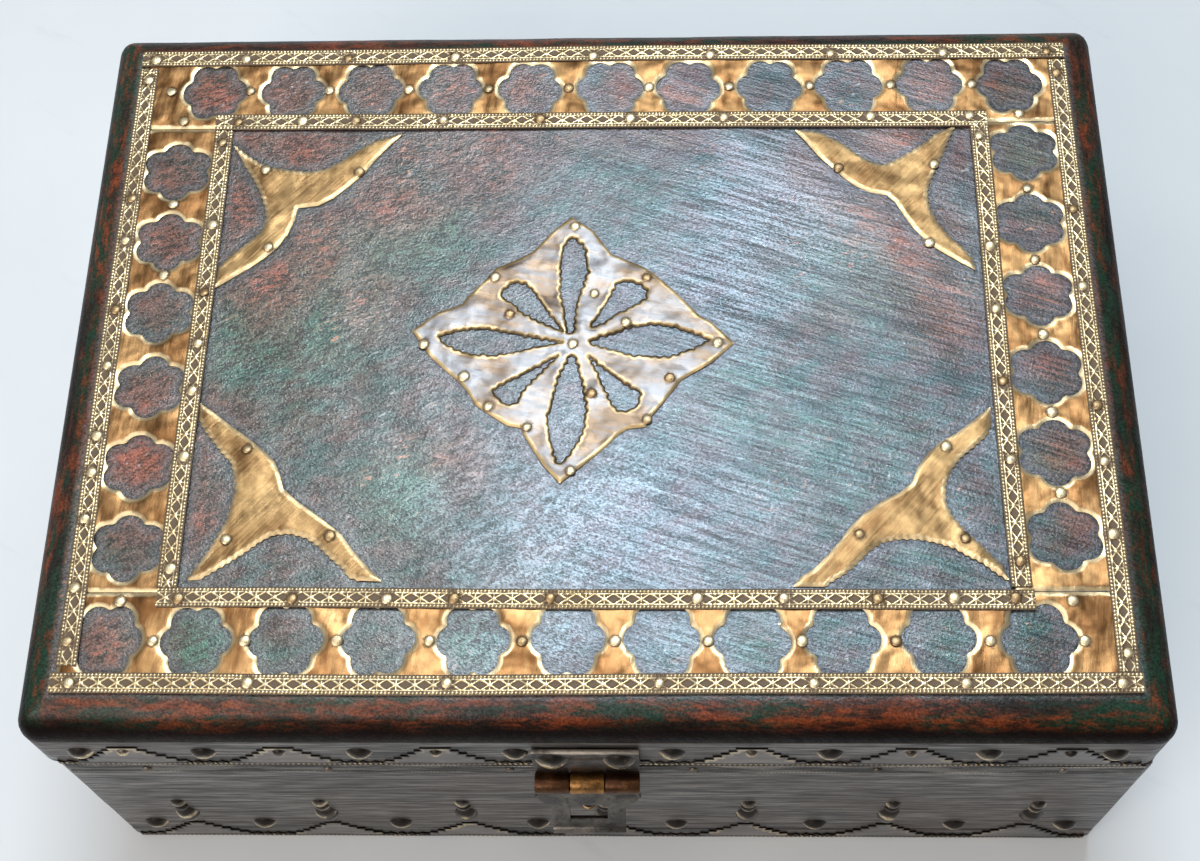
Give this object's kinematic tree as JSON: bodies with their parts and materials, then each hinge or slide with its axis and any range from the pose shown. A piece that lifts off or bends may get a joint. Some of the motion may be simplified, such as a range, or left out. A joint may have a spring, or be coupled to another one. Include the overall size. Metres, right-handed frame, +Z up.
{
  "type": "wooden box",
  "caption": "Low wooden box with a hinged lid, painted top framed in stamped brass ribbons and pierced brass strips, scalloped dark metal bands and a front hasp.",
  "frame": {"origin": "centre of the flat underside of the base, on the table", "axes": "+X along the longest side to the right seen from the front, +Y to the back where the hinges are, +Z up; the hasp is on the front, at -Y"},
  "size_m": [0.2834, 0.2257, 0.1069],
  "materials": {
    "painted_wood": "worn red-brown and green paint under dark glossy wax",
    "dark_wood": "brown-black waxed boards",
    "ribbon_brass": "stamped brass, bright on the relief and dark in the hollows",
    "fret_brass": "brushed brown-gold brass with grime at the edges",
    "nail_brass": "worn brass domes",
    "dark_sheet": "dark patinated sheet",
    "iron": "dark worn metal"
  },
  "bodies": {
    "base": {"bottom_board": "dark_wood", "base_front_board": "dark_wood", "base_back_board": "dark_wood", "base_left_board": "dark_wood", "base_right_board": "dark_wood", "base_nails": "iron", "base_front_skirt": "dark_sheet", "base_back_skirt": "dark_sheet", "base_left_skirt": "dark_sheet", "base_right_skirt": "dark_sheet", "skirt_bosses": "nail_brass", "skirt_buds": "nail_brass", "base_front_ribbon": "dark_sheet", "base_back_ribbon": "dark_sheet", "base_left_ribbon": "dark_sheet", "base_right_ribbon": "dark_sheet", "edge_ribbon_nails": "nail_brass", "staple_plate": "iron", "staple": "nail_brass", "staple_nails": "nail_brass", "left_hinge_base_leaf": "iron", "right_hinge_base_leaf": "iron", "hinge_pins": "iron", "hinge_base_nails": "nail_brass"},
    "lid": {"lid_top_board": "painted_wood", "lid_front_rail": "dark_wood", "lid_back_rail": "dark_wood", "lid_left_rail": "dark_wood", "lid_right_rail": "dark_wood", "lid_nails": "iron", "lid_front_band": "dark_sheet", "lid_back_band": "dark_sheet", "lid_left_band": "dark_sheet", "lid_right_band": "dark_sheet", "lid_band_nails": "nail_brass", "outer_front_ribbon": "ribbon_brass", "outer_back_ribbon": "ribbon_brass", "outer_left_ribbon": "ribbon_brass", "outer_right_ribbon": "ribbon_brass", "inner_front_ribbon": "ribbon_brass", "inner_back_ribbon": "ribbon_brass", "inner_left_ribbon": "ribbon_brass", "inner_right_ribbon": "ribbon_brass", "front_fret": "fret_brass", "back_fret": "fret_brass", "left_fret": "fret_brass", "right_fret": "fret_brass", "front_left_corner_plate": "fret_brass", "front_right_corner_plate": "fret_brass", "back_left_corner_plate": "fret_brass", "back_right_corner_plate": "fret_brass", "medallion": "fret_brass", "ornament_nails": "nail_brass", "clasp_leaf": "iron", "clasp_screws": "iron", "clasp_pin": "iron", "left_hinge_lid_leaf": "iron", "right_hinge_lid_leaf": "iron", "hinge_lid_nails": "nail_brass"},
    "hasp": {"hasp": "iron"}
  },
  "joints": [
    {"name": "lid_hinge", "type": "hinge", "parent": "base", "child": "lid", "pos_m": [-0.0015, 0.1074, 0.077], "axis": [-1, 0, 0], "range_deg": [0, 105]},
    {"name": "hasp_swing", "type": "hinge", "parent": "lid", "child": "hasp", "pos_m": [-0.0035, -0.10765, 0.072], "axis": [-1, 0, 0], "range_deg": [-18, 115]}
  ]
}
